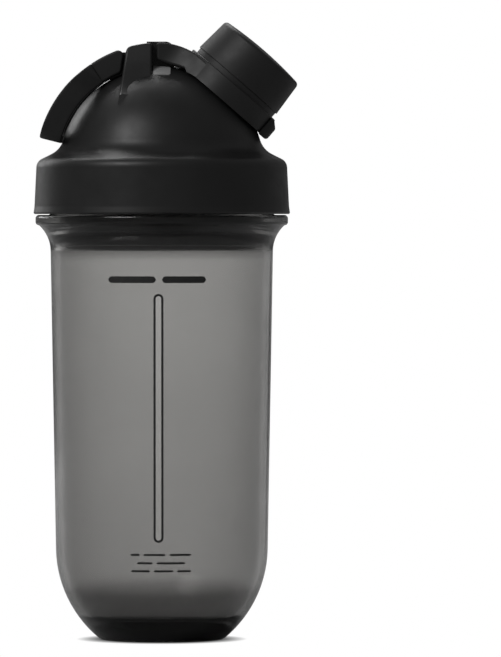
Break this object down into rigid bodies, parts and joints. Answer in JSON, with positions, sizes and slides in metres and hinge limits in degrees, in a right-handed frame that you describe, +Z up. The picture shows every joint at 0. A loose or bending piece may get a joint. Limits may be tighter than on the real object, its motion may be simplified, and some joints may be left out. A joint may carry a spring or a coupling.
{
  "type": "protein shaker bottle",
  "caption": "Capsule-shaped shaker bottle with a domed screw lid, flip-cap spout and folding carry loop.",
  "frame": {"origin": "centre of the base pad's underside, on the bottle's axis", "axes": "+Z up along the bottle's axis, +X towards the spout and flip cap, -X towards the carry loop"},
  "size_m": [0.0962, 0.0936, 0.2252],
  "materials": {
    "bottle_smoke": "translucent smoke grey, fine frosted moulding",
    "pad_rubber": "matt black",
    "silicone_grey": "matt grey",
    "lid_black": "satin black, fine spark texture",
    "liner_black": "semi-gloss black",
    "bumper_grey": "matt pale grey",
    "pin_steel": "ground stainless",
    "cap_black": "satin black, fine spark texture",
    "strap_black": "matt black soft-touch"
  },
  "bodies": {
    "bottle": {"bottle_body": "bottle_smoke", "base_pad": "pad_rubber"},
    "rise": {"lid_seal": "silicone_grey"},
    "lid": {"lid_shell": "lid_black", "spout_liner": "liner_black", "sleeve_o_ring": "silicone_grey", "crown_bumper": "bumper_grey", "cap_hinge_pin": "pin_steel", "loop_hinge_pin": "pin_steel"},
    "cap": {"cap_arm": "cap_black", "cap_cup": "cap_black", "cap_plug": "liner_black", "cap_seal": "silicone_grey"},
    "loop": {"loop_bracket": "cap_black", "loop_strap": "strap_black"}
  },
  "joints": [
    {"name": "lid_rise", "type": "slide", "parent": "bottle", "child": "rise", "axis": [0, 0, 1], "range_m": [0, 0.036]},
    {"name": "lid_turn", "type": "hinge", "parent": "rise", "child": "lid", "pos_m": [0, 0, 0.172], "axis": [0, 0, 1], "range_deg": [0, 2161]},
    {"name": "cap_hinge", "type": "hinge", "parent": "lid", "child": "cap", "pos_m": [0.0015, 0, 0.21517], "axis": [0, -1, 0], "range_deg": [0, 110]},
    {"name": "loop_hinge", "type": "hinge", "parent": "lid", "child": "loop", "pos_m": [-0.01655, 0, 0.2119], "axis": [0, 1, 0], "range_deg": [0, 100]}
  ],
  "couplings": [
    {"joint": "lid_turn", "follows": "lid_rise", "rad_per_m": 1047.2}
  ]
}
